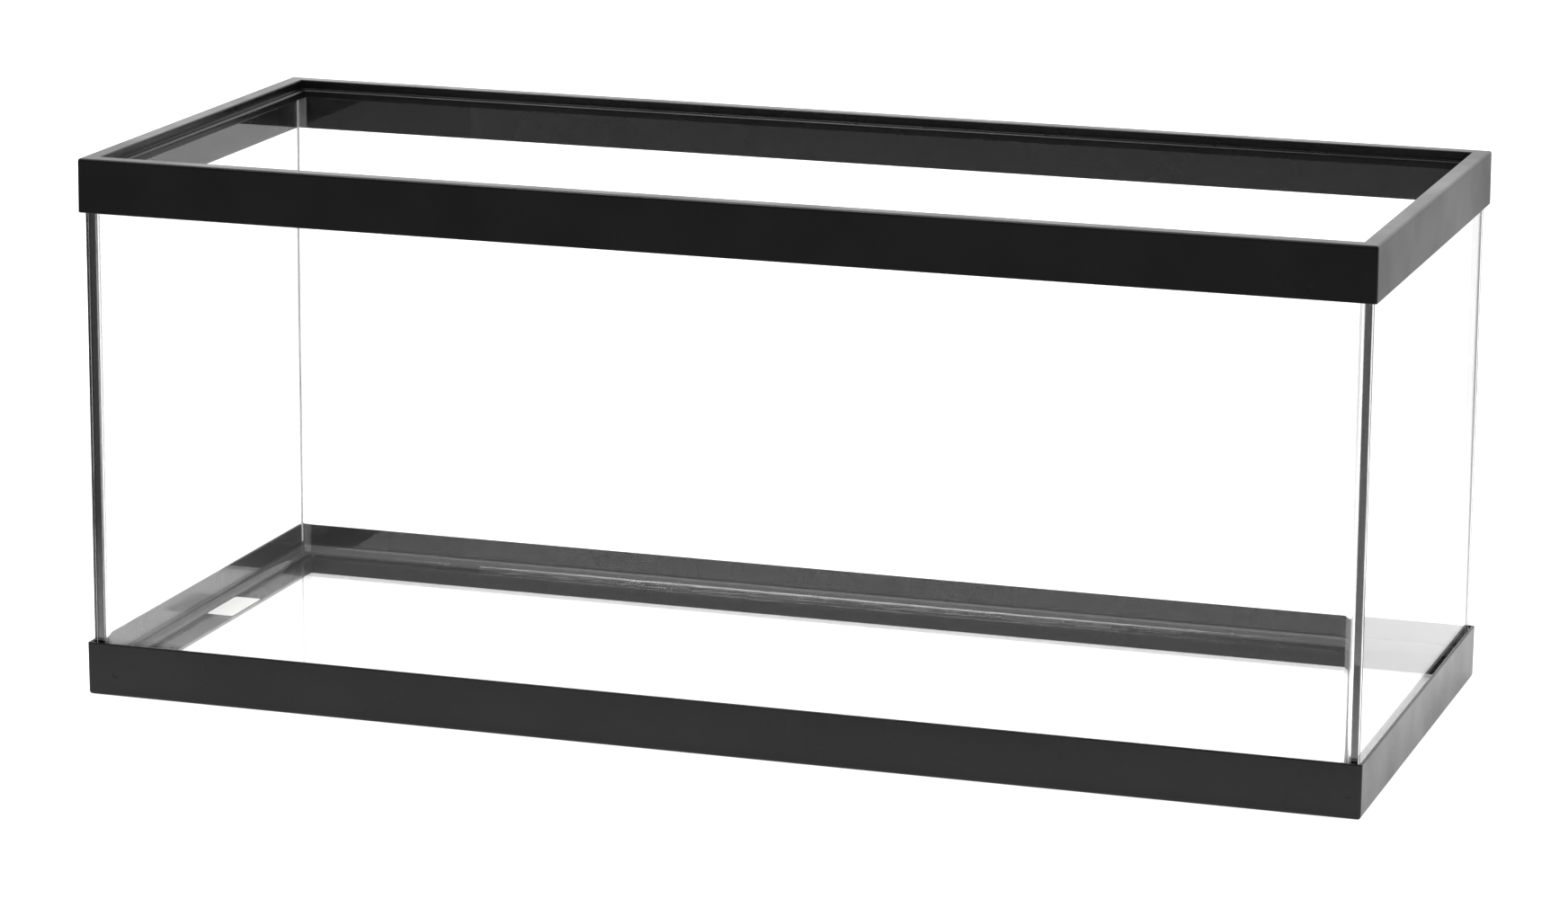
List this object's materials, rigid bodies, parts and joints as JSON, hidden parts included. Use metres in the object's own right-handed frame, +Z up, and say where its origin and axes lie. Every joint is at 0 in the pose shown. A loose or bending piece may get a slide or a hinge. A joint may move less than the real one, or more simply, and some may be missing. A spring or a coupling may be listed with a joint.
{
  "type": "glass aquarium tank",
  "caption": "Rectangular open-topped tank of clear glass panes bonded with silicone, with a black plastic frame round the top and the bottom and a ledge that takes a lid.",
  "frame": {"origin": "middle of the face that the tank stands on", "axes": "+X along the tank, to the right when its front is seen; -Y out of the front; +Z up"},
  "size_m": [0.768, 0.316, 0.322],
  "materials": {
    "glass": "clear float glass, polished faces",
    "frame_plastic": "semi-gloss moulded black plastic",
    "silicone": "translucent cured silicone sealant",
    "sealant": "black silicone sealant, hidden in the frame channels",
    "label_paper": "matt white paper label, blank"
  },
  "bodies": {
    "root": {"front_pane": "glass", "back_pane": "glass", "left_pane": "glass", "right_pane": "glass", "base_pane": "glass", "top_frame": "frame_plastic", "bottom_frame": "frame_plastic", "top_frame_sealant": "sealant", "bottom_frame_sealant": "sealant", "front_left_corner_bond": "silicone", "front_right_corner_bond": "silicone", "back_right_corner_bond": "silicone", "back_left_corner_bond": "silicone", "front_left_corner_bead": "silicone", "front_right_corner_bead": "silicone", "back_right_corner_bead": "silicone", "back_left_corner_bead": "silicone", "front_base_bond": "silicone", "back_base_bond": "silicone", "left_base_bond": "silicone", "right_base_bond": "silicone", "front_base_bead": "silicone", "right_base_bead": "silicone", "back_base_bead": "silicone", "left_base_bead": "silicone", "blank_label": "label_paper"}
  },
  "joints": []
}
